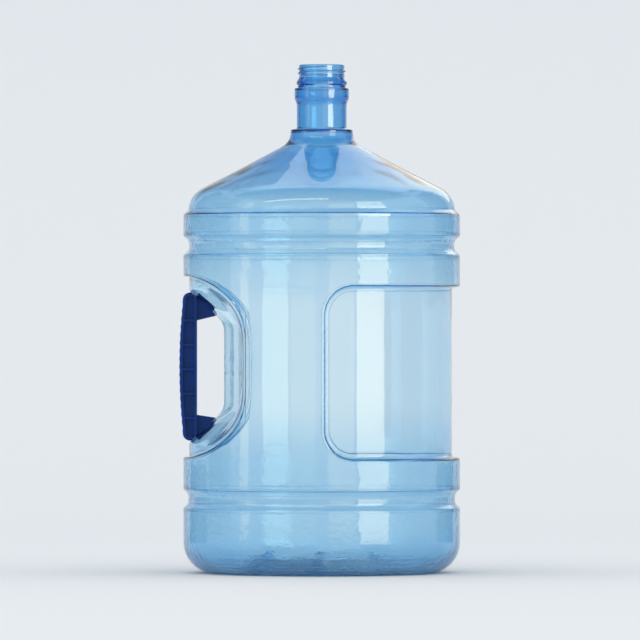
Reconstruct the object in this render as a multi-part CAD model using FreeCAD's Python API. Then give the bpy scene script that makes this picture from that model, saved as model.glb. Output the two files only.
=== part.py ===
"""Large water jug with a screw neck, a side handle in a recess and a flat label panel.

Millimetres. The origin is the centre of the base's resting plane, on the neck's axis.
+Z is up, the handle is at -X and the label panel at +X, so the mould opens along X.
"""

import math
import os

import FreeCAD
import Part
from FreeCAD import Vector

# ---------------------------------------------------------------- jug body
WALL = 1.2                # blown wall
BODY_R = 136.0            # outside radius of the four bands
BASE_CORNER_R = 30.0      # big radius between side and base
REST_RING_R = 98.0        # inner edge of the flat ring the jug stands on
PUSH_UP_R = 58.0          # flat middle of the raised base
PUSH_UP_H = 13.0          # height of the raised base

UPPER_GROOVE_Z = 321.3
UPPER_GROOVE_DEPTH = 5.6
LOWER_GROOVE_Z = 72.9
LOWER_GROOVE_DEPTH = 4.9
GROOVE_HALF_TOP = 9.0     # half width of a groove at the band's surface
GROOVE_HALF_FLOOR = 4.8   # half width of a groove at its floor

SHOULDER_R = 131.05       # radius just above the top band's step
SHOULDER_STEP_Z = 356.0

RIB_COUNT = 6             # radial ribs pressed up into the base
RIB_R = 11.0              # roundness of a rib
RIB_HEIGHT = 3.0
RIB_START_R = 62.0
RIB_END_R = 88.0

# ---------------------------------------------------------------- neck
FLANGE_R = 30.5
FLANGE_Z = 435.3
NECK_R = 24.5
NECK_WALL = 2.6
RING_R = 26.7
RING_LOW_Z = 465.8
RING_TOP_Z = 476.0
BEAD_R = 24.8
BEAD_Z = 481.4
THREAD_ROOT_R = 22.3
THREAD_CREST_R = 23.5
THREAD_PITCH = 4.23
THREAD_TURNS = 1.8
THREAD_START_Z = 488.6
THREAD_START_DEG = 90.0
LIP_Z = 499.0
BORE_R = 20.0
BORE_FOOT_Z = 481.5       # below this the inside widens and follows the outside

# ---------------------------------------------------------------- label panel
PANEL_R = 127.9
PANEL_EDGE_X = 3.6
PANEL_TOP_Z = 280.3
PANEL_LOW_Z = 113.7
PANEL_CORNER_R = 28.0
PANEL_OUTER_ROUND = 2.6
PANEL_INNER_ROUND = 2.8

# ---------------------------------------------------------------- handle recess
RECESS_Z = 202.6          # middle height of recess and handle
RECESS_HALF_Y = 114.2
RECESS_HALF_Z = 88.4
RECESS_POWER = 3.5        # squareness of the recess outline
LANDING_R = 130.2         # shallow ledge round the recess
LANDING_W = 5.0
COLUMN_X = 95.9           # the column behind the fingers
COLUMN_BEND_R = 98.0      # how the column curves round
COLUMN_HALF_Z = 43.3      # where the column starts to lean out to the handle
COLUMN_SLOPE = 1.09
EDGE_HALF_Y = 9.0         # raised edge down the front of the column
EDGE_H = 7.0
EDGE_SLOPE = 1.6
SHELF_X = 73.9            # recess floor beside the column, at the recess's outline
SHELF_SLOPE = 0.11        # the floor rises towards the column
RIM_SLOPE = 1.25
BLEND = 5.0               # softness of the recess's inside corners
RECESS_EDGE_ROUND = 1.5
LEDGE_ROUND = 1.5
CREST_ROUND = 2.5         # edge between the ledge and the deep part of the recess

# ---------------------------------------------------------------- handle
GRIP_MID_X = 139.9        # palm face at mid height
GRIP_END_X = 135.6        # palm face at the ends
GRIP_INNER_X = 122.5
GRIP_HALF_H = 72.7
GRIP_CORNER_R = 7.0
GRIP_W = 26.0
WEB_T = 12.0
PALM_FLANGE_T = 3.4
FINGER_FLANGE_T = 2.6
CROSS_RIB_T = 2.0
CROSS_RIB_PITCH = 23.95
CROSS_RIBS = 5
CROSS_RIB_MIDDLE = -2.7
PALM_EDGE_R = 2.4
SCALLOP_PITCH = 8.06
SCALLOP_DEPTH = 0.5
SCALLOPS = 16
GUSSET_T = 10.0
GUSSET_GAP = 0.25         # between a gusset and the recess wall
GUSSET_TOP = (44.6, 49.8) # heights of the upper gusset's edge, at the grip and at the wall
GUSSET_LOW = (47.0, 50.2)
FOOT_NARROW = 12.0        # dovetail foot, at the wall's surface
FOOT_WIDE = 17.0
FOOT_DEPTH = 5.0
FOOT_LENGTH = 22.0
FOOT_PLAY = 0.1

FAR = 200.0               # anything beyond the jug


# ---------------------------------------------------------------- outlines
def inset(corners, distance):
    """Move every side of an open outline to its left by distance, keeping rounds concentric."""
    sides = []
    for (r0, z0, _), (r1, z1, _) in zip(corners, corners[1:]):
        length = math.hypot(r1 - r0, z1 - z0)
        normal = (-(z1 - z0) / length, (r1 - r0) / length)
        sides.append((r0 + normal[0] * distance, z0 + normal[1] * distance, (r1 - r0) / length,
                      (z1 - z0) / length))
    first = sides[0]
    moved = [(first[0], first[1], 0.0)]
    for before, after, corner in zip(sides, sides[1:], corners[1:-1]):
        cross = before[2] * after[3] - before[3] * after[2]
        along = ((after[0] - before[0]) * after[3] - (after[1] - before[1]) * after[2]) / cross
        turn_left = cross > 0
        rounding = corner[2] - distance if turn_left else corner[2] + distance
        moved.append((before[0] + before[2] * along, before[1] + before[3] * along,
                      max(rounding, 0.3)))
    last = corners[-1]
    end = sides[-1]
    length = math.hypot(last[0] - corners[-2][0], last[1] - corners[-2][1])
    moved.append((end[0] + end[2] * length, end[1] + end[3] * length, 0.0))
    return moved


def rounded_edges(corners):
    """Lines and tangent arcs through an open outline of (r, z, rounding) corners."""
    points = [Vector(r, 0, z) for r, z, _ in corners]
    edges = []
    start = points[0]
    for before, corner, after, (_, _, rounding) in zip(points, points[1:], points[2:], corners[1:]):
        back = (before - corner).normalize()
        ahead = (after - corner).normalize()
        half = back.getAngle(ahead) / 2.0
        if rounding < 0.05 or abs(half - math.pi / 2) < 0.002:
            edges.append(Part.makeLine(start, corner))
            start = corner
            continue
        reach = rounding / math.tan(half)
        first = corner + back * reach
        last = corner + ahead * reach
        bisector = (back + ahead).normalize()
        middle = corner + bisector * (rounding / math.sin(half) - rounding)
        if first.distanceToPoint(start) > 0.01:
            edges.append(Part.makeLine(start, first))
        edges.append(Part.Arc(first, middle, last).toShape())
        start = last
    edges.append(Part.makeLine(start, points[-1]))
    return edges


def revolved(corners):
    """Solid of revolution about Z from an outline that starts and ends on the axis."""
    edges = rounded_edges(corners)
    first = edges[0].Vertexes[0].Point
    last = Vector(corners[-1][0], 0, corners[-1][1])
    edges.append(Part.makeLine(last, first))
    face = Part.Face(Part.Wire(Part.__sortEdges__(edges)))
    return face.revolve(Vector(0, 0, 0), Vector(0, 0, 1), 360)


def groove_corners(z, depth):
    """One ring groove, from below."""
    return [
        (BODY_R, z - GROOVE_HALF_TOP, 2.0),
        (BODY_R - depth, z - GROOVE_HALF_FLOOR, 7.0),
        (BODY_R - depth, z + GROOVE_HALF_FLOOR, 7.0),
        (BODY_R, z + GROOVE_HALF_TOP, 2.0),
    ]


def body_corners():
    """The blown body, from the middle of the base to the top of the cone."""
    return [
        (0, PUSH_UP_H, 0),
        (PUSH_UP_R, PUSH_UP_H, 40),
        (REST_RING_R, 0, 4),
        (BODY_R, 0, BASE_CORNER_R),
        *groove_corners(LOWER_GROOVE_Z, LOWER_GROOVE_DEPTH),
        *groove_corners(UPPER_GROOVE_Z, UPPER_GROOVE_DEPTH),
        (BODY_R, 351.8, 2.5),
        (SHOULDER_R, SHOULDER_STEP_Z, 2.2),
        (130.45, 363.8, 25),
        (122.9, 375.0, 25),
        (75.0, 399.6, 300),
        (FLANGE_R, 423.4, 16),
    ]


def neck_corners():
    """Outside of the neck, from the flange to the lip."""
    return [
        (FLANGE_R, FLANGE_Z, 1.3),
        (NECK_R, FLANGE_Z + 1.0, 1.5),
        (NECK_R, 460.6, 3),
        (RING_R, RING_LOW_Z, 1.5),
        (RING_R, RING_TOP_Z, 0.7),
        (23.5, RING_TOP_Z, 0.6),
        (23.5, 478.5, 0.5),
        (BEAD_R, BEAD_Z - 1.3, 0.7),
        (BEAD_R, BEAD_Z + 0.7, 0.8),
        (THREAD_ROOT_R, 486.2, 1.0),
        (THREAD_ROOT_R, LIP_Z, 0.8),
        (0, LIP_Z, 0),
    ]


def bore_corners():
    """Inside of the neck, from under the flange up to the lip."""
    neck = NECK_R - NECK_WALL
    return [
        (FLANGE_R - 2.1, 423.2, 12),
        (FLANGE_R - 2.1, 432.2, 2.5),
        (neck, 436.6, 2.5),
        (neck, 463.5, 3),
        (RING_R - 3.1, 468.5, 2),
        (RING_R - 3.1, 474.0, 2),
        (BORE_R, BORE_FOOT_Z, 3),
        (BORE_R, LIP_Z, 0),
        (0, LIP_Z, 0),
    ]


# ---------------------------------------------------------------- handle recess
def recess_outline(grow):
    """Outline of the recess seen along X, grown by a distance: a squared-off oval."""
    points = []
    steps = 96
    for i in range(steps):
        angle = 2 * math.pi * i / steps
        c = math.cos(angle)
        s = math.sin(angle)
        y = math.copysign(abs(c) ** (2 / RECESS_POWER), c) * (RECESS_HALF_Y + grow)
        z = math.copysign(abs(s) ** (2 / RECESS_POWER), s) * (RECESS_HALF_Z + grow)
        points.append(Vector(-FAR, y, RECESS_Z + z))
    curve = Part.BSplineCurve()
    curve.interpolate(Points=points, PeriodicFlag=True)
    return Part.Wire(curve.toShape())


def soft_max(a, b, blend=BLEND):
    """The larger of two depths, with a rounded changeover."""
    gap = max(blend - abs(a - b), 0.0)
    return max(a, b) + gap * gap / (4 * blend)


def eased(value, start, end):
    """0 at start, 1 at end, with a smooth run between them."""
    share = min(max((value - start) / (end - start), 0.0), 1.0)
    return share * share * (3 - 2 * share)


def recess_depth(y, z):
    """Distance from the YZ plane to the recess's wall, z measured from the recess's middle."""
    lean = soft_max(COLUMN_X, COLUMN_X + (abs(z) - COLUMN_HALF_Z) * COLUMN_SLOPE, 9.0)
    side = min(abs(y) / COLUMN_BEND_R, 0.985)
    edge = lean - max(abs(y) - EDGE_HALF_Y, 0) * EDGE_SLOPE - y * y / 100
    edge_h = EDGE_H * eased(abs(z), COLUMN_HALF_Z + 14, COLUMN_HALF_Z - 8)
    column = lean - edge_h - COLUMN_BEND_R * (1 - math.sqrt(1 - side * side))
    column = soft_max(column, edge, 2.5)
    shelf = SHELF_X + SHELF_SLOPE * (RECESS_HALF_Y - abs(y))
    ring = (abs(y / RECESS_HALF_Y) ** RECESS_POWER + abs(z / RECESS_HALF_Z) ** RECESS_POWER)
    ring = ring ** (1 / RECESS_POWER)
    inside = (1 - ring) * RECESS_HALF_Z - LANDING_W
    landing = math.sqrt(max(LANDING_R ** 2 - y * y, 0.0))
    rim = landing - inside * RIM_SLOPE
    return soft_max(soft_max(column, shelf, 8.0), rim)


def recess_surface(wall):
    """The recess's wall as one smooth face, moved into the jug by the wall thickness."""
    half_y = RECESS_HALF_Y + 4
    half_z = RECESS_HALF_Z + 4
    columns = 91
    rows = 53
    small = 0.05
    grid = []
    for i in range(columns):
        y = -half_y + 2 * half_y * i / (columns - 1)
        line = []
        for j in range(rows):
            z = -half_z + 2 * half_z * j / (rows - 1)
            x = recess_depth(y, z)
            slope_y = (recess_depth(y + small, z) - recess_depth(y - small, z)) / (2 * small)
            slope_z = (recess_depth(y, z + small) - recess_depth(y, z - small)) / (2 * small)
            thick = wall * math.sqrt(1 + slope_y ** 2 + slope_z ** 2)
            line.append(Vector(-(x - thick), y, RECESS_Z + z))
        grid.append(line)
    surface = Part.BSplineSurface()
    surface.interpolate(grid)
    return surface.toShape()


def recess_cutter(wall):
    """Everything the recess takes away from the body."""
    scoop = recess_surface(wall).extrude(Vector(-FAR, 0, 0))
    window = Part.Face(recess_outline(wall)).extrude(Vector(FAR - SHELF_X + wall, 0, 0))
    core = Part.makeCylinder(LANDING_R - wall, 400)
    return window.cut(core).fuse(scoop.common(window))


# ---------------------------------------------------------------- label panel
def panel_cutter(wall):
    """What the label panel takes away from the +X half of the body."""
    low = PANEL_LOW_Z - wall
    edge_x = PANEL_EDGE_X - wall
    block = Part.makeBox(FAR, 2 * FAR, PANEL_TOP_Z + wall - low, Vector(edge_x, -FAR, low))
    corners = [edge for edge in block.Edges
               if abs(edge.BoundBox.XMax - edge_x) < 0.01 and edge.BoundBox.YLength > FAR]
    block = block.makeFillet(PANEL_CORNER_R + wall, corners)
    return block.cut(Part.makeCylinder(PANEL_R - wall, 400))


# ---------------------------------------------------------------- base ribs
def base_rib_cutters(wall):
    """Radial ribs pressed up into the sloping part of the raised base."""
    slope = math.atan2(PUSH_UP_H, REST_RING_R - PUSH_UP_R)
    length = (RIB_END_R - RIB_START_R) / math.cos(slope)
    start_z = PUSH_UP_H * (REST_RING_R - RIB_START_R) / (REST_RING_R - PUSH_UP_R)
    ribs = []
    for i in range(RIB_COUNT):
        rod = Part.makeCylinder(RIB_R + wall, length, Vector(0, 0, 0), Vector(1, 0, 0))
        ends = [Part.makeSphere(RIB_R + wall, Vector(x, 0, 0)) for x in (0.0, length)]
        rod = rod.fuse(ends).removeSplitter()
        rod.translate(Vector(0, 0, RIB_HEIGHT - RIB_R))
        rod.rotate(Vector(0, 0, 0), Vector(0, 1, 0), math.degrees(slope))
        rod.translate(Vector(RIB_START_R, 0, start_z))
        rod.rotate(Vector(0, 0, 0), Vector(0, 0, 1), 360.0 * i / RIB_COUNT - 90.0)
        ribs.append(rod)
    return ribs


# ---------------------------------------------------------------- handle feet
def foot(grow, top):
    """Dovetail foot that the blown wall closes round, at the recess's upper or lower wall."""
    direction = 1 if top else -1
    lean = math.atan(1 / COLUMN_SLOPE)
    deep = FOOT_DEPTH + grow
    narrow = FOOT_NARROW / 2 + grow
    wide = FOOT_WIDE / 2 + grow
    corners = [
        Vector(0, -narrow, -2.0),
        Vector(0, narrow, -2.0),
        Vector(0, narrow, 0),
        Vector(0, wide, deep),
        Vector(0, -wide, deep),
        Vector(0, -narrow, 0),
        Vector(0, -narrow, -2.0),
    ]
    half = FOOT_LENGTH / 2 + grow
    block = Part.Face(Part.makePolygon(corners)).extrude(Vector(2 * half, 0, 0))
    block.translate(Vector(-half, 0, 0))
    # Local +Z becomes the direction into the jug, local +X runs along the sloping wall.
    block.rotate(Vector(0, 0, 0), Vector(0, 1, 0), math.degrees(lean))
    if not top:
        block = block.mirror(Vector(0, 0, 0), Vector(0, 0, 1))
    middle_x = 0.5 * (COLUMN_X + 8.0 + LANDING_R - 3.0)
    height = COLUMN_HALF_Z + (middle_x - COLUMN_X) / COLUMN_SLOPE
    block.translate(Vector(-middle_x, 0, RECESS_Z + direction * height))
    return block


# ---------------------------------------------------------------- bottle
def thread():
    """Right-hand screw thread round the neck's mouth."""
    height = THREAD_PITCH * THREAD_TURNS
    path = Part.makeHelix(THREAD_PITCH, height, THREAD_ROOT_R)
    buried = THREAD_ROOT_R - 0.6
    profile = Part.makePolygon([
        Vector(buried, 0, -1.45),
        Vector(THREAD_CREST_R, 0, -0.45),
        Vector(THREAD_CREST_R, 0, 0.45),
        Vector(buried, 0, 1.45),
        Vector(buried, 0, -1.45),
    ])
    coil = Part.Wire(path).makePipeShell([Part.Wire(profile)], True, True)
    coil.rotate(Vector(0, 0, 0), Vector(0, 0, 1), THREAD_START_DEG)
    coil.translate(Vector(0, 0, THREAD_START_Z))
    return coil


def on_radius(edge, radius):
    """Whether an edge lies on a cylinder round the Z axis."""
    return all(abs(math.hypot(p.x, p.y) - radius) < 0.06 for p in edge.discretize(9))


def panel_edges(solid, radius, wall):
    """The panel's outline where it meets a radius of the body."""
    edges = []
    for edge in solid.Edges:
        box = edge.BoundBox
        beside = box.XMin > PANEL_EDGE_X - wall - 0.1
        level = box.ZMin > PANEL_LOW_Z - 6 and box.ZMax < PANEL_TOP_Z + 6
        seam = box.YLength < 0.01 and box.XMin > PANEL_R - 5
        if beside and level and not seam and on_radius(edge, radius):
            edges.append(edge)
    return edges


def recess_edges(solid, radius, shortest, longest):
    """The recess's outlines that lie on a radius of the body, picked by length."""
    edges = []
    for edge in solid.Edges:
        box = edge.BoundBox
        level = box.ZMin > RECESS_Z - 95 and box.ZMax < RECESS_Z + 95
        if level and box.XMax < -60 and on_radius(edge, radius):
            if shortest < edge.Length < longest:
                edges.append(edge)
    return edges


def body_block(corners, wall):
    """The body as a solid block, moved inwards by a wall thickness."""
    solid = revolved(corners).cut(panel_cutter(wall))
    edges = panel_edges(solid, BODY_R - wall, wall)
    solid = solid.makeFillet(PANEL_OUTER_ROUND - wall, edges)
    edges = panel_edges(solid, PANEL_R - wall, wall)
    solid = solid.makeFillet(PANEL_INNER_ROUND + wall, edges)
    solid = solid.cut(recess_cutter(wall))
    solid = solid.makeFillet(CREST_ROUND, recess_edges(solid, LANDING_R - wall, 600, 900))
    solid = solid.makeFillet(LEDGE_ROUND, recess_edges(solid, LANDING_R - wall, 200, 600))
    solid = solid.makeFillet(RECESS_EDGE_ROUND, recess_edges(solid, BODY_R - wall, 0, 900))
    solid = solid.cut(base_rib_cutters(wall))
    return solid.cut([foot(FOOT_PLAY + wall, True), foot(FOOT_PLAY + wall, False)])


def lip_face(block):
    """The flat top face of a block that ends at the lip."""
    return max(block.Faces, key=lambda face: face.CenterOfMass.z)


def open_at_lip(outside, inside):
    """Join the skins of two blocks at the lip into one thin-walled solid."""
    outside_top = lip_face(outside)
    inside_top = lip_face(inside)
    faces = [face for face in outside.Faces if not face.isSame(outside_top)]
    faces += [face for face in inside.Faces if not face.isSame(inside_top)]
    faces += outside_top.cut(inside_top).Faces
    shell = Part.makeShell(faces)
    shell.sewShape()
    return Part.makeSolid(shell)


def make_bottle():
    outside = body_block(body_corners() + neck_corners(), 0.0)
    inner_corners = inset(body_corners(), WALL)[:-1] + bore_corners()
    inside = body_block(inner_corners, WALL)
    return open_at_lip(outside, inside).fuse(thread())


# ---------------------------------------------------------------- handle
def palm_x(height):
    """Distance of the bowed palm face from the neck's axis at a height above the middle."""
    sag = GRIP_MID_X - GRIP_END_X
    bow = (GRIP_HALF_H ** 2 + sag ** 2) / (2 * sag)
    return GRIP_MID_X - bow + math.sqrt(bow ** 2 - height ** 2)


def bar_face(palm_in, finger_in, low, high):
    """Side view of the grip between two heights, drawn in from its palm and finger faces."""
    middle = (low + high) / 2
    palm = [Vector(-(palm_x(h) - palm_in), 0, RECESS_Z + h) for h in (low, middle, high)]
    finger_low = Vector(-(GRIP_INNER_X + finger_in), 0, RECESS_Z + low)
    finger_high = Vector(-(GRIP_INNER_X + finger_in), 0, RECESS_Z + high)
    edges = [
        Part.Arc(*palm).toShape(),
        Part.makeLine(palm[2], finger_high),
        Part.makeLine(finger_high, finger_low),
        Part.makeLine(finger_low, palm[0]),
    ]
    return Part.Face(Part.Wire(edges))


def slab(face, width):
    """A face in the XZ plane thickened to both sides."""
    solid = face.extrude(Vector(0, width, 0))
    solid.translate(Vector(0, -width / 2, 0))
    return solid


def wall_height(x, gap):
    """Height of the recess's sloping wall above the middle, less a gap square to the wall."""
    gap_up = gap * math.sqrt(1 + 1 / COLUMN_SLOPE ** 2)
    return COLUMN_HALF_Z + (x - COLUMN_X) / COLUMN_SLOPE - gap_up


def side_polygon(points, direction):
    """Face in the XZ plane from (distance from axis, height from middle) points."""
    corners = [Vector(-x, 0, RECESS_Z + direction * h) for x, h in points]
    return Part.Face(Part.makePolygon(corners + corners[:1]))


def gusset(direction, bar_height, wall_end_height):
    """Narrow plate that joins the grip to the sloping wall at one end."""
    wall_x = COLUMN_X + (wall_end_height - COLUMN_HALF_Z) * COLUMN_SLOPE + 1.0
    points = [
        (GRIP_INNER_X + 3, bar_height),
        (wall_x, wall_end_height),
        (wall_x, GRIP_HALF_H + 10),
        (GRIP_INNER_X + 3, GRIP_HALF_H - 4),
    ]
    return slab(side_polygon(points, direction), GUSSET_T)


def wall_keepout(direction):
    """Everything on the jug's side of one sloping wall."""
    near = COLUMN_X - 5
    points = [
        (near, wall_height(near, GUSSET_GAP)),
        (GRIP_MID_X + 5, wall_height(GRIP_MID_X + 5, GUSSET_GAP)),
        (GRIP_MID_X + 5, 120),
        (near, 120),
    ]
    return slab(side_polygon(points, direction), GRIP_W + 10)


def side_windows():
    """Hollows on both sides of the grip that leave a web, two flanges and the cross ribs."""
    depth = (GRIP_W - WEB_T) / 2
    end = GRIP_HALF_H - 3.4
    field = bar_face(PALM_FLANGE_T, FINGER_FLANGE_T, -end, end).extrude(Vector(0, depth, 0))
    ribs = []
    for i in range(CROSS_RIBS):
        middle = RECESS_Z + CROSS_RIB_MIDDLE + (i - (CROSS_RIBS - 1) / 2) * CROSS_RIB_PITCH
        ribs.append(Part.makeBox(40, depth, CROSS_RIB_T,
                                 Vector(-150, 0, middle - CROSS_RIB_T / 2)))
    field = field.cut(ribs)
    field.translate(Vector(0, WEB_T / 2, 0))
    return [field, field.mirror(Vector(0, 0, 0), Vector(0, 1, 0))]


def scallops():
    """Shallow finger ridges across the palm face."""
    radius = ((SCALLOP_PITCH / 2) ** 2 + SCALLOP_DEPTH ** 2) / (2 * SCALLOP_DEPTH)
    rods = []
    for i in range(SCALLOPS):
        height = (i - (SCALLOPS - 1) / 2) * SCALLOP_PITCH
        axis_x = palm_x(height) + radius - SCALLOP_DEPTH
        rods.append(Part.makeCylinder(radius, GRIP_W + 2,
                                      Vector(-axis_x, -GRIP_W / 2 - 1, RECESS_Z + height),
                                      Vector(0, 1, 0)))
    return rods


def is_palm_end(edge):
    """An edge that runs across the grip at the top or bottom of its palm face."""
    box = edge.BoundBox
    at_end = abs(abs(box.ZMin - RECESS_Z) - GRIP_HALF_H) < 0.01
    return box.YLength > GRIP_W - 0.1 and at_end and box.XMax < -GRIP_END_X + 0.01


def is_palm_side(edge):
    """An edge along the palm face's side, round its end corners too."""
    box = edge.BoundBox
    on_side = abs(abs(box.YMin) - GRIP_W / 2) < 0.01 and box.YLength < 0.01
    return on_side and box.XMax < -GRIP_INNER_X - 4 and box.ZLength > 1


def make_handle():
    bar = slab(bar_face(0, 0, -GRIP_HALF_H, GRIP_HALF_H), GRIP_W)
    bar = bar.makeFillet(GRIP_CORNER_R, [edge for edge in bar.Edges if is_palm_end(edge)])
    bar = bar.makeFillet(PALM_EDGE_R, [edge for edge in bar.Edges if is_palm_side(edge)])
    bar = bar.cut(side_windows()).cut(scallops())
    plates = [gusset(1, *GUSSET_TOP), gusset(-1, *GUSSET_LOW)]
    bar = bar.fuse(plates).cut([wall_keepout(1), wall_keepout(-1)])
    return bar.fuse([foot(0.0, True), foot(0.0, False)]).removeSplitter()


def save(shape, name):
    os.makedirs("parts", exist_ok=True)
    shape.exportStep(f"parts/{name}.step")


save(make_bottle(), "bottle")
save(make_handle(), "handle")
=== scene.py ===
"""Studio picture of a large blue water jug with a dark side handle.

Metres, Z up, in the frame of the CAD model: the jug stands on Z = 0 on the neck's axis, the
handle at -X, the label panel at +X, and the camera looks along +Y. Jug sizes are in
millimetres below, as they are on a drawing, and become metres when a mesh is made.
"""

import math

import bpy
import numpy as np
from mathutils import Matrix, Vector, noise


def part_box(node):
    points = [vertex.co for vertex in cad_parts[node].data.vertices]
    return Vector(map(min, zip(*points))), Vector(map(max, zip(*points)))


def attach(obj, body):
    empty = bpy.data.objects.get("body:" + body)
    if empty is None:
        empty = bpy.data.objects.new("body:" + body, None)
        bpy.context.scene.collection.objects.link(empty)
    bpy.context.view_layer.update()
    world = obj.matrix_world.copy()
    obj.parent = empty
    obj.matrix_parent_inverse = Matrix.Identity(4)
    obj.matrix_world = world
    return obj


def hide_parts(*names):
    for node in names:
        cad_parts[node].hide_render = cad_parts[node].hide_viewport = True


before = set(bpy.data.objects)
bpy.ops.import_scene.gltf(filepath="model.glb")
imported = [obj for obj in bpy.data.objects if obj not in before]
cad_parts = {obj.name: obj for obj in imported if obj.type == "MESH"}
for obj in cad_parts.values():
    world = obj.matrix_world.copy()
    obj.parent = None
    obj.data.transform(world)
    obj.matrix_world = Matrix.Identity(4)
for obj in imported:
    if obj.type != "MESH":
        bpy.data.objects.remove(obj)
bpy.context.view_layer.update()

MM = 0.001

# ---------------------------------------------------------------- jug sizes, millimetres
BODY_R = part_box("bottle")[1][0] / MM      # outside of the bands
LIP_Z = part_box("bottle")[1][2] / MM       # top of the neck

WALL = 1.2                                # thickness of the blown wall
THIN_WALL = 0.62                          # in the middle of the body
HEEL_WALL = 1.7
SHOULDER_WALL = 2.6                       # next to the neck
HEEL_RUN = (50.0, 8.0)                    # heights between which the thickness changes
THIN_RUNS = ((90.0, 170.0), (345.0, 250.0))
SHOULDER_RUN = (368.0, 412.0)
WALL_SPREAD = 0.08                        # unevenness of the wall, as a share of it
WALL_SPREAD_SIZE = 19.0
RIPPLE = 0.015                            # unevenness of the blown surface
RIPPLE_SIZE = 26.0
RIPPLE_RUNS = ((20.0, 45.0), (400.0, 360.0))

STEP_EXTRA_WALL = 0.3                     # where a band, the panel or the recess steps down
STEP_REACH = 2.2
STEP_DRAFT = 0.25                         # half the width of a step's own wall

LOWER_GROOVE = (72.9, 4.9)                # height and depth
UPPER_GROOVE = (321.3, 5.6)
GROOVE_HALF_TOP = 9.0
GROOVE_HALF_FLOOR = 4.8
GROOVE_TOP_ROUND = 2.0
GROOVE_FLOOR_ROUND = 7.0
SHOULDER_R = 131.05                       # just above the shoulder's step
SHOULDER_STEP_Z = 356.0
SHOULDER_STEP_MIDDLE_Z = SHOULDER_STEP_Z - 2.0

GROOVE_EDGES = [groove + side * GROOVE_HALF_TOP for side in (-1, 1)
                for groove in (LOWER_GROOVE[0], UPPER_GROOVE[0])]
RING_EDGES = GROOVE_EDGES + [SHOULDER_STEP_MIDDLE_Z]

FLANGE_R = 30.5
FLANGE_TOP_Z = 435.3
NECK_R = 24.5
RING_R = 26.7                             # transfer ring round the neck
RING_LOW_Z = 465.8
RING_TOP_Z = 476.0
BEAD_R = 24.8
THREAD_ROOT_R = 22.3
THREAD_CREST_R = 23.5
THREAD_PITCH = 4.23
THREAD_TURNS = 1.8
THREAD_START_Z = 488.6
THREAD_HALF_FOOT = 1.12
THREAD_HALF_CREST = 0.45
THREAD_RUN_OUT = 0.06                     # turns over which each end fades away
BORE_R = 20.0
BORE_FOOT_Z = 481.5                       # below this the inside widens and follows the outside
NECK_INSIDE_R = 21.9
RING_INSIDE_R = 23.6
FLANGE_INSIDE_R = 28.4
UNDER_FLANGE_Z = 414.0                    # above this the inside has its own outline

PANEL_R = 127.9
PANEL_EDGE_X = 3.6
PANEL_Z = 197.0
PANEL_HALF_Z = 83.3
PANEL_CORNER_R = 28.0
PANEL_STEP = (BODY_R - PANEL_R, 2.6, 2.8)  # depth, outer round, inner round
PANEL_BEND = (3.0, 17.0)                  # distances outside the edge where the grid eases back

RECESS_Z = 202.6
RECESS_HALF_Y = 114.2
RECESS_HALF_Z = 88.4
RECESS_POWER = 3.5                        # 2 would be an oval, a high number a rectangle
RECESS_ANGLE = math.radians(75)           # the recess is within this angle of the handle
RECESS_BEND = (1.1, 1.02)                 # sizes, as shares of it, where the grid eases back
LANDING_R = 130.2                         # narrow ledge inside the recess's edge
LANDING_W = 5.0
RECESS_STEP = (BODY_R - LANDING_R, 1.5, 1.5)
COLUMN_X = 95.9
COLUMN_BEND_R = 98.0
COLUMN_BEND_LIMIT = 0.985
COLUMN_HALF_Z = 43.3
COLUMN_SLOPE = 1.09
EDGE_HALF_Y = 9.0                         # raised edge down the front of the column
EDGE_H = 7.0
EDGE_SLOPE = 1.6
EDGE_CROWN_R = 50.0
EDGE_FADE = (14.0, -8.0)                  # distances beyond the column's straight part
SHELF_X = 73.9
SHELF_SLOPE = 0.11                        # the shelf rises towards the column
RIM_SLOPE = 1.25
COLUMN_BLEND = 9.0                        # changeovers between the recess's surfaces
EDGE_BLEND = 2.5
SHELF_BLEND = 8.0
RIM_BLEND = 5.0
LANDING_BLEND = 2.5
FLOOR_BLEND = 1.0

RIB_COUNT = 6
RIB_R = 11.0
RIB_HEIGHT = 3.0
RIB_START_R = 62.0
RIB_END_R = 88.0
PUSH_UP_H = 13.0
PUSH_UP_R = 58.0
REST_RING_R = 98.0
BASE_CORNER_R = 30.0

PEEL_LOW_Z = 112.0                        # orange peel covers the bands below and above these
PEEL_HIGH_Z = 286.0
PEEL_FADE = 10.0
PEEL_HEIGHT = 0.17
PEEL_SCALE = 190.0
STIPPLE_Z = 16.0                          # coarser grain covers the heel below this
STIPPLE_FADE = 14.0
STIPPLE_HEIGHT = 0.3
STIPPLE_SCALE = 520.0

# Furthest apart that two rows of the wall's grid may be.
BODY_GAP = 2.4
SHOULDER_GAP = 4.0
THREAD_GAP = 0.32
THREAD_LOW_Z = 485.0                      # the thread's rows start here
BORE_GAP = 5.0


# ---------------------------------------------------------------- outlines
# An outline is a list of corners, each with a radius, a height and a rounding.
def rounded(corners, step=math.radians(10)):
    """Points along an outline's corners, with an arc at each rounded one."""
    points = [np.array(corners[0][:2], float)]
    for before, here, after in zip(corners, corners[1:], corners[2:]):
        corner = np.array(here[:2], float)
        back = np.array(before[:2], float) - corner
        ahead = np.array(after[:2], float) - corner
        back /= np.linalg.norm(back)
        ahead /= np.linalg.norm(ahead)
        turn = math.pi - math.acos(np.clip(back @ ahead, -1, 1))
        if here[2] == 0 or turn < 0.01:
            points.append(corner)
            continue
        reach = here[2] * math.tan(turn / 2)
        to_centre = (back + ahead) / np.linalg.norm(back + ahead)
        centre = corner + to_centre * here[2] / math.cos(turn / 2)
        start = corner + back * reach - centre
        end = corner + ahead * reach - centre
        count = max(3, math.ceil(turn / step))
        for i in range(count + 1):
            share = i / count
            spot = start * math.sin((1 - share) * turn) + end * math.sin(share * turn)
            points.append(centre + spot / math.sin(turn))
    points.append(np.array(corners[-1][:2], float))
    return points


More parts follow.
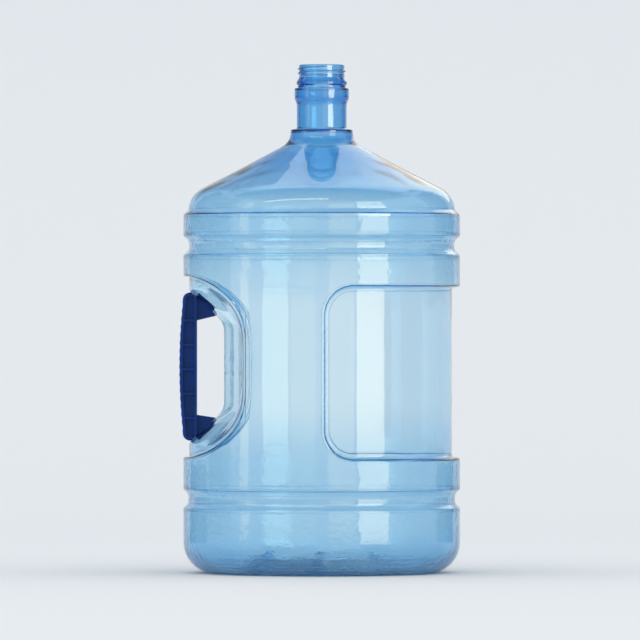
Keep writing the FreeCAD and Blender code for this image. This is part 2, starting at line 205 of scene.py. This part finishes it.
def filled(points, gap):
    """The same outline with extra points wherever two are further apart than a gap."""
    dense = [points[0]]
    for a, b in zip(points, points[1:]):
        count = max(1, math.ceil(np.linalg.norm(b - a) / gap))
        for i in range(1, count + 1):
            dense.append(a + (b - a) * i / count)
    return dense


def groove_corners(height, depth):
    """Corners of a ring groove, from its lower edge to its upper one."""
    return [
        (BODY_R, height - GROOVE_HALF_TOP, GROOVE_TOP_ROUND),
        (BODY_R - depth, height - GROOVE_HALF_FLOOR, GROOVE_FLOOR_ROUND),
        (BODY_R - depth, height + GROOVE_HALF_FLOOR, GROOVE_FLOOR_ROUND),
        (BODY_R, height + GROOVE_HALF_TOP, GROOVE_TOP_ROUND),
    ]


BASE_CORNERS = [
    (5.0, PUSH_UP_H, 0),
    (PUSH_UP_R, PUSH_UP_H, 40),
    (REST_RING_R, 0.0, 4),
    (BODY_R, 0.0, BASE_CORNER_R),
]
SHOULDER_CORNERS = [
    (BODY_R, SHOULDER_STEP_Z - 4.2, 2.5),
    (SHOULDER_R, SHOULDER_STEP_Z, 2.2),
    (130.45, 363.8, 25),
    (122.9, 375.0, 25),
    (75.0, 399.6, 300),
    (FLANGE_R, 423.4, 16),
]
NECK_CORNERS = [
    (FLANGE_R, FLANGE_TOP_Z, 1.3),
    (NECK_R, FLANGE_TOP_Z + 1.0, 1.5),
    (NECK_R, 460.6, 3),
    (RING_R, RING_LOW_Z, 1.5),
    (RING_R, RING_TOP_Z, 0.7),
    (23.5, RING_TOP_Z, 0.6),
    (23.5, 478.5, 0.5),
    (BEAD_R, 480.1, 0.7),
    (BEAD_R, 482.1, 0.8),
    (THREAD_ROOT_R, 486.2, 1.0),
    (THREAD_ROOT_R, LIP_Z, 0.8),
    (BORE_R + 0.6, LIP_Z, 0),
]
BORE_CORNERS = [
    (FLANGE_INSIDE_R, 423.2, 12),
    (FLANGE_INSIDE_R, 432.2, 2.5),
    (NECK_INSIDE_R, 436.6, 2.5),
    (NECK_INSIDE_R, 463.5, 3),
    (RING_INSIDE_R, 468.5, 2),
    (RING_INSIDE_R, 474.0, 2),
    (BORE_R, BORE_FOOT_Z, 3),
    (BORE_R, LIP_Z, 0.6),
    (BORE_R + 0.7, LIP_Z, 0),
]


# ---------------------------------------------------------------- steps with rounded edges
def step_lines(outer_round, inner_round, count=6):
    """Distances outside a step's edge of the grid lines that follow its two rounds."""
    lines = []
    for i in range(count + 1):
        angle = math.pi / 2 * i / count
        lines.append(STEP_DRAFT + outer_round * (1 - math.sin(angle)))
        lines.append(-STEP_DRAFT - inner_round * (1 - math.cos(angle)))
    return lines


def step_drop(outside, depth, outer_round, inner_round):
    """How far down a step has gone at a distance outside its edge."""
    over_edge = np.clip((outer_round + STEP_DRAFT - outside) / outer_round, 0, 1)
    upper = outer_round * (1 - np.sqrt(1 - over_edge ** 2))
    past_foot = np.clip((-STEP_DRAFT - outside) / inner_round, 0, 1)
    lower = depth - inner_round + inner_round * np.sqrt(1 - (1 - past_foot) ** 2)
    share = np.clip((STEP_DRAFT - outside) / (2 * STEP_DRAFT), 0, 1)
    wall = outer_round + (depth - outer_round - inner_round) * share
    return np.where(outside > STEP_DRAFT, upper, np.where(outside < -STEP_DRAFT, lower, wall))


def nearness(distance):
    """1 on an edge, falling to 0 away from it."""
    return np.exp(-(distance / STEP_REACH) ** 2)


# ---------------------------------------------------------------- grid lines of the wall
def spread(low, high, gap):
    """Evenly spaced values from low to high, no further apart than a gap."""
    return list(np.linspace(low, high, math.ceil(abs(high - low) / gap) + 1))


def thinned(values, least, most):
    """Sorted values, without any too close to the one before and filled where far apart."""
    kept = []
    for value in sorted(values):
        if not kept or value - kept[-1] > least:
            kept.append(value)
    dense = [kept[0]]
    for a, b in zip(kept, kept[1:]):
        dense += spread(a, b, most)[1:]
    return dense


# Distances outside the panel's and the recess's edge at which there is a grid line.
PANEL_LINES = step_lines(*PANEL_STEP[1:]) + spread(12, 4, 2.5) + spread(-4, -32, 2.2)
RECESS_LINES = (
    step_lines(*RECESS_STEP[1:])
    + spread(6, 2.5, 1.2)
    + spread(-2.5, -8.5, 0.6)
    + spread(-9.5, -RECESS_HALF_Z, 2.0)
)


def wall_heights():
    """Heights of the grid's rows between the two grooves."""
    heights = [LOWER_GROOVE[0] + 2 * GROOVE_HALF_TOP, UPPER_GROOVE[0] - 2 * GROOVE_HALF_TOP]
    for side in (-1, 1):
        heights += [PANEL_Z + side * (PANEL_HALF_Z + line) for line in PANEL_LINES]
        heights += [RECESS_Z + side * (RECESS_HALF_Z + line) for line in RECESS_LINES]
    return thinned(heights, least=0.14, most=4.0)


def column_angles():
    """Angles of the grid's columns from the handle's side, all the way round."""
    angles = [0.0, math.pi]
    for line in RECESS_LINES:
        y = RECESS_HALF_Y * (1 + line / RECESS_HALF_Z)
        angles.append(math.asin(y / BODY_R))
    for line in PANEL_LINES:
        angles.append(math.acos((line - PANEL_EDGE_X) / BODY_R))
    half = thinned(angles, least=0.001, most=math.radians(2.0))
    half[-1] = math.pi
    return np.array([-a for a in reversed(half[1:-1])] + half)


# ---------------------------------------------------------------- recess and panel
def soft_max(a, b, blend):
    """The larger of two depths, with a rounded changeover."""
    gap = np.maximum(blend - np.abs(a - b), 0.0)
    return np.maximum(a, b) + gap * gap / (4 * blend)


def soft_min(a, b, blend):
    """The smaller of two depths, with a rounded changeover."""
    return -soft_max(-a, -b, blend)


def eased(value, start, end):
    """0 at start, 1 at end, with a smooth run between them."""
    t = np.clip((value - start) / (end - start), 0, 1)
    return t * t * (3 - 2 * t)


def between(value, runs):
    """1 between a rising run and a falling one, 0 outside them."""
    return eased(value, *runs[0]) * eased(value, *runs[1])


def bend_to_recess(y, h):
    """Move grid points near the recess so that its outline is a grid line.

    Square rings round the recess's middle become rings of the outline's own squared-off
    oval. Returns the new places and how far each lies outside the outline.
    """
    u = np.abs(y) / RECESS_HALF_Y
    v = np.abs(h) / RECESS_HALF_Z
    ring = np.maximum(u, v)
    oval = np.maximum((u ** RECESS_POWER + v ** RECESS_POWER) ** (1 / RECESS_POWER), 1e-9)
    keep = eased(ring, *RECESS_BEND)
    scale = 1 + (ring / oval - 1) * keep
    return y * scale, h * scale, (ring - 1) * RECESS_HALF_Z


def bend_to_panel(x, h):
    """Move grid points near the panel so that its rounded corners are grid lines.

    Returns the new places and how far each lies outside the panel's edge.
    """
    outside = np.maximum(PANEL_EDGE_X - x, np.abs(h) - PANEL_HALF_Z)
    bend_start, bend_end = PANEL_BEND
    beyond = (PANEL_CORNER_R + bend_start) * eased(outside, bend_end, bend_start)
    corner = np.where(outside < bend_start, PANEL_CORNER_R + outside, beyond)
    corner = np.maximum(corner, 1e-6)
    edge_x = PANEL_EDGE_X - outside
    edge_h = PANEL_HALF_Z + outside
    from_top = edge_h - np.abs(h)
    from_side = x - edge_x
    on_side = from_side < from_top
    along = np.where(on_side, from_top, from_side)
    angle = np.clip(1 - along / corner, 0, 1) * math.pi / 4
    near = (along < corner) & (outside > -PANEL_CORNER_R)
    lean = np.where(on_side, angle, math.pi / 2 - angle)
    new_x = np.where(near, edge_x + corner * (1 - np.cos(lean)), x)
    new_h = np.where(near, edge_h - corner * (1 - np.sin(lean)), np.abs(h))
    return new_x, np.copysign(new_h, h), outside


def recess_wall(y, h, inside):
    """Distance of the recess's floor from the YZ plane."""
    past_column = np.abs(h) - COLUMN_HALF_Z
    lean = soft_max(COLUMN_X, COLUMN_X + past_column * COLUMN_SLOPE, COLUMN_BLEND)
    side = np.minimum(np.abs(y) / COLUMN_BEND_R, COLUMN_BEND_LIMIT)
    edge = lean - np.maximum(np.abs(y) - EDGE_HALF_Y, 0) * EDGE_SLOPE
    edge = edge - y ** 2 / (2 * EDGE_CROWN_R)
    edge_h = EDGE_H * eased(past_column, *EDGE_FADE)
    column = lean - edge_h - COLUMN_BEND_R * (1 - np.sqrt(1 - side ** 2))
    column = soft_max(column, edge, EDGE_BLEND)
    shelf = SHELF_X + SHELF_SLOPE * (RECESS_HALF_Y - np.abs(y))
    landing = np.sqrt(np.maximum(LANDING_R ** 2 - y ** 2, 0.0))
    rim = landing - (inside - LANDING_W) * RIM_SLOPE
    deep = soft_max(soft_max(column, shelf, SHELF_BLEND), rim, RIM_BLEND)
    return soft_max(soft_min(deep, landing, LANDING_BLEND), SHELF_X, FLOOR_BLEND)


# ---------------------------------------------------------------- jug wall
def thread_height(angle, z):
    """How far the screw thread stands out of the neck."""
    turn = (angle / (2 * math.pi)) % 1.0
    height = np.zeros_like(z)
    for lap in range(math.ceil(THREAD_TURNS) + 1):
        turns = turn + lap
        off = np.abs(z - THREAD_START_Z - THREAD_PITCH * turns)
        ridge = (THREAD_HALF_FOOT - off) / (THREAD_HALF_FOOT - THREAD_HALF_CREST)
        ends = eased(turns, 0, THREAD_RUN_OUT) * eased(
            turns, THREAD_TURNS, THREAD_TURNS - THREAD_RUN_OUT
        )
        height = np.maximum(height, np.clip(ridge, 0, 1) * ends)
    return height * (THREAD_CREST_R - THREAD_ROOT_R)


def rib_height(angle, radius):
    """How far the base's radial ribs stand up; the first one points at the camera."""
    pitch = 2 * math.pi / RIB_COUNT
    off = (angle + pitch / 2) % pitch - pitch / 2
    across = radius * np.sin(off)
    along = radius * np.cos(off)
    beyond = np.maximum(np.maximum(RIB_START_R - along, along - RIB_END_R), 0)
    distance = np.minimum(np.hypot(across, beyond), RIB_R)
    bump = np.sqrt(RIB_R ** 2 - distance ** 2) - (RIB_R - RIB_HEIGHT)
    return np.maximum(bump, 0)


def outside_outline():
    """The radius and height of each row of the grid, from the base's middle up to the lip."""
    lower = [(BODY_R, LOWER_GROOVE[0] + 2 * GROOVE_HALF_TOP, 0)]
    lower = filled(rounded(BASE_CORNERS + groove_corners(*LOWER_GROOVE) + lower), BODY_GAP)
    upper = [(BODY_R, UPPER_GROOVE[0] - 2 * GROOVE_HALF_TOP, 0)]
    upper += groove_corners(*UPPER_GROOVE) + SHOULDER_CORNERS + NECK_CORNERS
    upper = filled(rounded(upper), SHOULDER_GAP)
    straight = [np.array((BODY_R, z)) for z in wall_heights()[1:-1]]
    rows = lower + straight + upper
    thread = [row for row in rows if row[1] > THREAD_LOW_Z]
    return np.array([row for row in rows if row[1] <= THREAD_LOW_Z] + filled(thread, THREAD_GAP))


def outside_grid():
    """The jug's outside as a grid of points, and how near each is to a panel or recess edge."""
    outline = outside_outline()
    angle = column_angles()
    radius = np.repeat(outline[:, :1], len(angle), 1)
    z = np.repeat(outline[:, 1:], len(angle), 1)
    angle = np.repeat(angle[None, :], len(outline), 0)

    wall = np.abs(radius - BODY_R) < 1e-6
    recess_side = wall & (np.abs(angle) < RECESS_ANGLE)
    y, h, outside = bend_to_recess(BODY_R * np.sin(angle), z - RECESS_Z)
    y = np.clip(y, -BODY_R, BODY_R)
    angle = np.where(recess_side, np.arcsin(y / BODY_R), angle)
    z = np.where(recess_side, h + RECESS_Z, z)
    band_x = np.sqrt(BODY_R ** 2 - y ** 2)
    step = step_drop(outside, *RECESS_STEP) / RECESS_STEP[0]
    floor_x = recess_wall(y, h, -outside)
    recess_x = band_x - step * np.maximum(band_x - floor_x, 0)
    near_step = np.where(recess_side, nearness(outside), 0)

    x, h, outside = bend_to_panel(-BODY_R * np.cos(angle), z - PANEL_Z)
    panel_side = wall & ~recess_side
    turned = np.arccos(np.clip(-x / BODY_R, -1, 1))
    angle = np.where(panel_side, np.copysign(turned, angle), angle)
    z = np.where(panel_side, h + PANEL_Z, z)
    radius = np.where(panel_side, radius - step_drop(outside, *PANEL_STEP), radius)
    near_step = np.where(panel_side, nearness(outside), near_step)

    radius = radius + thread_height(math.pi - angle, z)
    base = (radius < REST_RING_R) & (z < PUSH_UP_H + 1)
    z = z + np.where(base, rib_height(math.pi / 2 + angle, radius), 0)

    x = np.where(recess_side, -recess_x, -radius * np.cos(angle))
    y = np.where(recess_side, y, radius * np.sin(angle))
    return np.stack((x, y, z), -1), near_step[:, :, None]


def grid_normals(grid):
    """Outward direction at each point of a grid that closes on itself round the axis."""
    across = np.roll(grid, -1, 1) - np.roll(grid, 1, 1)
    up = np.gradient(grid, axis=0)
    normal = np.cross(up, across)
    return normal / np.maximum(np.linalg.norm(normal, axis=2, keepdims=True), 1e-12)


def waves(grid, size, seed):
    """Smooth unevenness between about -1 and 1, with bumps of about a given size."""
    flat = grid.reshape(-1, 3) / size
    values = [noise.noise(Vector((p[0] + seed, p[1], p[2]))) for p in flat]
    return np.array(values).reshape(grid.shape[:2] + (1,))


def wall_thickness(z):
    """A blown wall is thin in the middle of the body and thick in the heel and shoulder."""
    thin = (WALL - THIN_WALL) * between(z, THIN_RUNS)
    heel = (HEEL_WALL - WALL) * eased(z, *HEEL_RUN)
    shoulder = (SHOULDER_WALL - WALL) * eased(z, *SHOULDER_RUN)
    return WALL - thin + heel + shoulder


def inside_skin(outer, normal, thickness):
    """The wall's inside, rows from the base's middle up to the lip.

    It follows the outside up to the neck, and from there has the bore's own outline.
    """
    last = int(np.argmax(outer[:, 0, 2] > UNDER_FLANGE_Z))
    inner = (outer - normal * thickness)[:last]
    top = inner[-1]
    top_r = float(np.hypot(top[:, 0], top[:, 1]).mean())
    top_z = float(top[:, 2].mean())
    outline = filled(rounded([(top_r, top_z, 0)] + BORE_CORNERS), BORE_GAP)[1:]
    angle = np.arctan2(outer[-1, :, 1], outer[-1, :, 0])
    rings = [np.stack((r * np.cos(angle), r * np.sin(angle), np.full_like(angle, z)), -1)
             for r, z in outline]
    return np.concatenate((inner, np.array(rings)))


def closed_mesh(outer, inner):
    """A mesh of two skins that meet at the lip, each with a point at the base's middle."""
    skins = np.concatenate((outer, inner[::-1]))
    rows, columns = skins.shape[:2]
    middle_low = np.array([[0.0, 0.0, float(outer[0, :, 2].mean())]])
    middle_high = np.array([[0.0, 0.0, float(inner[0, :, 2].mean())]])
    points = np.concatenate((skins.reshape(-1, 3), middle_low, middle_high)) * MM

    index = np.arange(rows * columns).reshape(rows, columns)
    beside = np.roll(index, -1, 1)
    quads = np.stack((index[:-1], index[1:], beside[1:], beside[:-1]), -1).reshape(-1, 4)
    faces = quads.tolist()
    for row, centre in ((0, rows * columns), (rows - 1, rows * columns + 1)):
        for a, b in zip(index[row], beside[row]):
            faces.append((a, b, centre) if row == 0 else (b, a, centre))
    mesh = bpy.data.meshes.new("jug_wall")
    mesh.from_pydata(points.tolist(), [], [tuple(int(i) for i in face) for face in faces])
    mesh.polygons.foreach_set("use_smooth", [True] * len(mesh.polygons))
    mesh.validate()
    return mesh


def jug_mesh():
    """The blown wall as one closed mesh: outside skin, lip and inside skin."""
    outer, near_step = outside_grid()
    normal = grid_normals(outer)
    z = outer[:, :, 2:]
    ripple = RIPPLE * waves(outer, RIPPLE_SIZE, seed=0)
    outer = outer + normal * between(z, RIPPLE_RUNS) * ripple

    thickness = wall_thickness(z) * (1 + WALL_SPREAD * waves(outer, WALL_SPREAD_SIZE, seed=40))
    for edge in RING_EDGES:
        near_step = np.maximum(near_step, nearness(z - edge))
    thickness += STEP_EXTRA_WALL * near_step
    return closed_mesh(outer, inside_skin(outer, normal, thickness))


def add(mesh, name):
    """Put a mesh in the scene as an object."""
    thing = bpy.data.objects.new(name, mesh)
    bpy.context.scene.collection.objects.link(thing)
    return thing


jug = add(jug_mesh(), "jug_wall")
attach(jug, "root")
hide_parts("bottle")


# ---------------------------------------------------------------- materials
PLASTIC_TINT = (0.02, 0.60, 0.89, 1)
TINT_DENSITY = 400.0
PLASTIC_ROUGHNESS = (0.008, 0.04)
HANDLE_DARK = (0.0014, 0.021, 0.155, 1)
HANDLE_PALE = (0.0020, 0.036, 0.26, 1)
HANDLE_GLINT = (0.32, 0.56, 1.0, 1)
HANDLE_ROUGHNESS = (0.22, 0.34)


def new_material(name):
    """A material with its node tree and its main shader."""
    material = bpy.data.materials.new(name)
    material.use_nodes = True
    return material, material.node_tree, material.node_tree.nodes["Principled BSDF"]


def node(tree, kind, **settings):
    """A new node with some of its inputs or settings filled in."""
    made = tree.nodes.new(kind)
    for key, value in settings.items():
        if key in made.inputs:
            made.inputs[key].default_value = value
        else:
            setattr(made, key, value)
    return made


def ramp_up(tree, value, middle, width):
    """0 below a middle value and 1 above it, with a linear run of a given width."""
    made = node(tree, "ShaderNodeMapRange")
    made.inputs["From Min"].default_value = middle - width / 2
    made.inputs["From Max"].default_value = middle + width / 2
    tree.links.new(value, made.inputs["Value"])
    return made.outputs["Result"]


def ramp_down(tree, value, middle, width):
    """1 below a middle value and 0 above it."""
    return ramp_up(tree, value, middle, -width)


def joined(tree, operation, a, b):
    """Two values put together by one piece of arithmetic."""
    made = node(tree, "ShaderNodeMath", operation=operation)
    tree.links.new(a, made.inputs[0])
    tree.links.new(b, made.inputs[1])
    return made.outputs["Value"]


def uneven_gloss(tree, shader, pattern, roughness, pattern_range=(0.0, 1.0)):
    """Roughness that runs between two values as a pattern runs over its range."""
    gloss = node(tree, "ShaderNodeMapRange")
    gloss.inputs["From Min"].default_value = pattern_range[0]
    gloss.inputs["From Max"].default_value = pattern_range[1]
    gloss.inputs["To Min"].default_value = roughness[0]
    gloss.inputs["To Max"].default_value = roughness[1]
    tree.links.new(pattern, gloss.inputs["Value"])
    tree.links.new(gloss.outputs["Result"], shader.inputs["Roughness"])


def bumps(tree, place, scale, strength, height, on_top_of=None):
    """Fine noise as a bump, with a strength that varies over the surface."""
    pattern = node(tree, "ShaderNodeTexNoise", Scale=scale, Detail=1.0)
    tree.links.new(place, pattern.inputs["Vector"])
    bump = node(tree, "ShaderNodeBump", Distance=height)
    tree.links.new(strength, bump.inputs["Strength"])
    tree.links.new(pattern.outputs["Fac"], bump.inputs["Height"])
    if on_top_of is not None:
        tree.links.new(on_top_of, bump.inputs["Normal"])
    return bump.outputs["Normal"]


def blue_plastic():
    """Clear blue blown plastic: tinted by its own thickness, with a fine uneven surface."""
    material, tree, shader = new_material("clear_blue_plastic")
    links = tree.links
    shader.inputs["Base Color"].default_value = (1, 1, 1, 1)
    shader.inputs["IOR"].default_value = 1.5
    shader.inputs["Transmission Weight"].default_value = 1.0
    place = node(tree, "ShaderNodeTexCoord").outputs["Object"]

    scuffs = node(tree, "ShaderNodeTexNoise", Scale=9.0, Detail=5.0)
    links.new(place, scuffs.inputs["Vector"])
    uneven_gloss(tree, shader, scuffs.outputs["Fac"], PLASTIC_ROUGHNESS, (0.35, 0.75))

    # The bands are uneven like orange peel; the middle, the recess and the cone are smooth.
    axes = node(tree, "ShaderNodeSeparateXYZ")
    links.new(place, axes.inputs["Vector"])
    height = axes.outputs["Z"]
    below_middle = ramp_down(tree, height, PEEL_LOW_Z * MM, PEEL_FADE * MM)
    above_middle = ramp_up(tree, height, PEEL_HIGH_Z * MM, PEEL_FADE * MM)
    below_cone = ramp_down(tree, height, SHOULDER_STEP_Z * MM, PEEL_FADE * MM)
    upper_bands = joined(tree, "MULTIPLY", above_middle, below_cone)
    bands = joined(tree, "MAXIMUM", below_middle, upper_bands)
    peel = bumps(tree, place, PEEL_SCALE, bands, PEEL_HEIGHT * MM)
    heel = ramp_down(tree, height, STIPPLE_Z * MM, STIPPLE_FADE * MM)
    stipple = bumps(tree, place, STIPPLE_SCALE, heel, STIPPLE_HEIGHT * MM, peel)
    links.new(stipple, shader.inputs["Normal"])

    tint = node(tree, "ShaderNodeVolumeAbsorption")
    tint.inputs["Color"].default_value = PLASTIC_TINT
    tint.inputs["Density"].default_value = TINT_DENSITY
    links.new(tint.outputs["Volume"], tree.nodes["Material Output"].inputs["Volume"])
    return material


def handle_plastic():
    """Dark blue moulded plastic with a fine spark-eroded grain."""
    material, tree, shader = new_material("dark_blue_plastic")
    links = tree.links
    place = node(tree, "ShaderNodeTexCoord").outputs["Object"]
    shader.inputs["Specular Tint"].default_value = HANDLE_GLINT
    cloud = node(tree, "ShaderNodeTexNoise", Scale=30.0, Detail=3.0)
    links.new(place, cloud.inputs["Vector"])
    ramp = node(tree, "ShaderNodeValToRGB")
    dark, pale = ramp.color_ramp.elements
    dark.position = 0.3
    dark.color = HANDLE_DARK
    pale.position = 0.75
    pale.color = HANDLE_PALE
    links.new(cloud.outputs["Fac"], ramp.inputs["Fac"])
    links.new(ramp.outputs["Color"], shader.inputs["Base Color"])
    uneven_gloss(tree, shader, cloud.outputs["Fac"], HANDLE_ROUGHNESS)
    grain = node(tree, "ShaderNodeTexNoise", Scale=1400.0, Detail=2.0)
    links.new(place, grain.inputs["Vector"])
    bump = node(tree, "ShaderNodeBump", Strength=0.3, Distance=0.0001)
    links.new(grain.outputs["Fac"], bump.inputs["Height"])
    links.new(bump.outputs["Normal"], shader.inputs["Normal"])
    return material


jug.data.materials.append(blue_plastic())
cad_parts["handle"].material_slots[0].material = handle_plastic()

# ---------------------------------------------------------------- studio
scene = bpy.context.scene
scene.view_settings.view_transform = "Standard"
scene.cycles.max_bounces = 24
scene.cycles.transmission_bounces = 24
scene.cycles.glossy_bounces = 8


def upright(azimuth, distance, width, low, high):
    """Corners of an upright panel that faces the jug; azimuth is degrees right of the camera."""
    turn = math.radians(azimuth)
    spot = Vector((math.sin(turn), -math.cos(turn), 0)) * distance
    across = Vector((math.cos(turn), math.sin(turn), 0)) * width / 2
    return [spot + across * side + Vector((0, 0, height))
            for side, height in ((-1, low), (1, low), (1, high), (-1, high))]


def overhead(across, deep, height):
    """Corners of a level panel that faces down."""
    return [(across[i], deep[j], height) for i, j in ((0, 0), (0, 1), (1, 1), (1, 0))]


def behind(across, y, heights):
    """Corners of an upright panel behind the jug."""
    return [(across[i], y, heights[j]) for i, j in ((0, 0), (0, 1), (1, 1), (1, 0))]


def reflector(name, corners, strength, colour=(1, 1, 1)):
    """A glowing or dark panel that only shows where the jug mirrors it."""
    mesh = bpy.data.meshes.new(name)
    mesh.from_pydata([tuple(c) for c in corners], [], [(0, 1, 2, 3)])
    glow(mesh, name, strength, colour)
    panel = add(mesh, name)
    panel.visible_camera = False
    panel.visible_diffuse = False
    panel.visible_shadow = False


def glow(mesh, name, strength, colour):
    """A light that is clear to any ray that no surface has mirrored."""
    material = bpy.data.materials.new(name)
    material.use_nodes = True
    tree = material.node_tree
    tree.nodes.clear()
    light = node(tree, "ShaderNodeEmission", Strength=strength, Color=(*colour, 1))
    clear = tree.nodes.new("ShaderNodeBsdfTransparent")
    path = tree.nodes.new("ShaderNodeLightPath")
    mirrored = node(tree, "ShaderNodeMath", operation="MINIMUM")
    mirrored.inputs[1].default_value = 1.0
    mix = tree.nodes.new("ShaderNodeMixShader")
    out = tree.nodes.new("ShaderNodeOutputMaterial")
    tree.links.new(path.outputs["Glossy Depth"], mirrored.inputs[0])
    tree.links.new(mirrored.outputs["Value"], mix.inputs[0])
    tree.links.new(clear.outputs[0], mix.inputs[1])
    tree.links.new(light.outputs[0], mix.inputs[2])
    tree.links.new(mix.outputs[0], out.inputs["Surface"])
    mesh.materials.append(material)


PAPER_COLOUR = (0.86, 0.87, 0.88, 1)
FLOOR_HALF_W = 6.0
FLOOR_FRONT_Y = -9.5
SWEEP_Y = 1.6                             # where the floor starts to rise
SWEEP_R = 0.8
BACKDROP_TOP_Z = 4.0


def backdrop(steps=16):
    """A pale floor that sweeps up into a wall behind the jug."""
    outline = [(FLOOR_FRONT_Y, 0.0), (SWEEP_Y, 0.0)]
    for i in range(1, steps + 1):
        angle = math.pi / 2 * i / steps
        outline.append((SWEEP_Y + SWEEP_R * math.sin(angle), SWEEP_R * (1 - math.cos(angle))))
    outline.append((SWEEP_Y + SWEEP_R, BACKDROP_TOP_Z))
    points = []
    faces = []
    for y, z in outline:
        points += [(-FLOOR_HALF_W, y, z), (FLOOR_HALF_W, y, z)]
    for i in range(0, len(points) - 2, 2):
        faces.append((i, i + 1, i + 3, i + 2))
    mesh = bpy.data.meshes.new("floor")
    mesh.from_pydata(points, [], faces)
    mesh.polygons.foreach_set("use_smooth", [True] * len(faces))
    mesh.materials.append(pale_paper())
    add(mesh, "floor")


def pale_paper():
    """Matt pale paper, seen from its front only so that it never hides the jug."""
    material, tree, shader = new_material("pale_floor")
    shader.inputs["Base Color"].default_value = PAPER_COLOUR
    shader.inputs["Roughness"].default_value = 0.9
    shader.inputs["Specular IOR Level"].default_value = 0.0
    clear = tree.nodes.new("ShaderNodeBsdfTransparent")
    mix = tree.nodes.new("ShaderNodeMixShader")
    facing = tree.nodes.new("ShaderNodeNewGeometry")
    tree.links.new(facing.outputs["Backfacing"], mix.inputs[0])
    tree.links.new(shader.outputs[0], mix.inputs[1])
    tree.links.new(clear.outputs[0], mix.inputs[2])
    tree.links.new(mix.outputs[0], tree.nodes["Material Output"].inputs["Surface"])
    return material


WARM = (1, 0.83, 0.58)
COOL = (0.8, 0.95, 1.1)
PALE = (1, 0.92, 0.80)
backdrop()

# In front of the jug: softboxes that its wall mirrors as upright bands of light, with panels of
# their own for the heel and the neck, and one overhead for the cone.
reflector("main_softbox", upright(42.1, 1.22, 0.525, 0.0, 1.1), 4.8, WARM)
reflector("heel_softbox", upright(39.65, 0.59, 0.24, 0.0, 0.085), 4.8, WARM)
reflector("neck_softbox", upright(42.1, 1.20, 0.515, 0.43, 0.58), 12.0, WARM)
reflector("front_softbox", upright(16.5, 1.3, 0.50, 0.0, 0.95), 2.2, WARM)
reflector("left_strip", upright(-64.0, 1.3, 0.18, 0.0, 1.0), 2.6, WARM)
reflector("top_softbox", overhead((-2.4, 0.2), (-1.9, -1.5), 2.1), 5.5, WARM)

# Dark flags at both sides draw the jug's edges, and one overhead darkens what its top mirrors.
for side, name in ((-1, "left"), (1, "right")):
    reflector(name + "_upper_flag", upright(side * 122, 1.6, 1.0, 0.29, 1.6), 0.4, COOL)
    reflector(name + "_lower_flag", upright(side * 117, 0.7, 0.36, 0.0, 0.10), 0.25, COOL)
reflector("left_side_flag", upright(-92, 1.7, 0.8, 0.0, 1.6), 0.3, COOL)
reflector("top_flag", overhead((-3.0, 3.0), (-3.0, 0.7), 2.9), 0.2, COOL)

# Behind and above the jug, where the cone mirrors them: paler from left to right.
CARD_Y = 2.2
CARD_EDGES = (-1.4, -0.6, -0.45, -0.3, -0.15, 0.0, 0.16, 0.32)
CARD_STRENGTH = (0.52, 1.12)
for number, edges in enumerate(zip(CARD_EDGES, CARD_EDGES[1:])):
    share = number / (len(CARD_EDGES) - 2)
    strength = CARD_STRENGTH[0] + (CARD_STRENGTH[1] - CARD_STRENGTH[0]) * share
    colour = [channel + (1 - channel) * share for channel in COOL]
    reflector(f"left_card_{number}", behind(edges, CARD_Y, (0.9, 3.6)), strength, colour)
reflector("right_card", behind((0.32, 1.4), CARD_Y, (0.8, 3.6)), 1.8, PALE)
CEILING_STRIPS = ((-1.6, -1.25, 0.7), (-1.25, -0.9, 1.15), (-0.9, 1.5, 1.6))
for number, (left, right, strength) in enumerate(CEILING_STRIPS):
    reflector(f"ceiling_softbox_{number}", overhead((left, right), (0.9, 2.0), 2.7), strength)

SURROUNDINGS_COLOUR = (0.915, 0.95, 0.98, 1)
SURROUNDINGS_STRENGTH = 1.04
world = bpy.data.worlds.new("studio")
scene.world = world
world.use_nodes = True
surroundings = world.node_tree.nodes["Background"]
surroundings.inputs["Color"].default_value = SURROUNDINGS_COLOUR
surroundings.inputs["Strength"].default_value = SURROUNDINGS_STRENGTH

# ---------------------------------------------------------------- camera
EYE_X = -0.00167
EYE_Z = 0.2365
CAMERA_DISTANCE = 7.6
PICTURE_MIDDLE_Z = 0.2483
PICTURE_W = 0.6289                        # metres across the picture at the jug's axis
SENSOR_W = 36                             # millimetres
camera_data = bpy.data.cameras.new("camera")
camera = bpy.data.objects.new("camera", camera_data)
scene.collection.objects.link(camera)
scene.camera = camera
camera.location = (EYE_X, -CAMERA_DISTANCE, EYE_Z)
camera.rotation_euler = (math.radians(90), 0, 0)
camera_data.sensor_width = SENSOR_W
camera_data.lens = SENSOR_W / PICTURE_W * CAMERA_DISTANCE
camera_data.shift_y = (PICTURE_MIDDLE_Z - EYE_Z) / PICTURE_W
camera_data.clip_end = 50
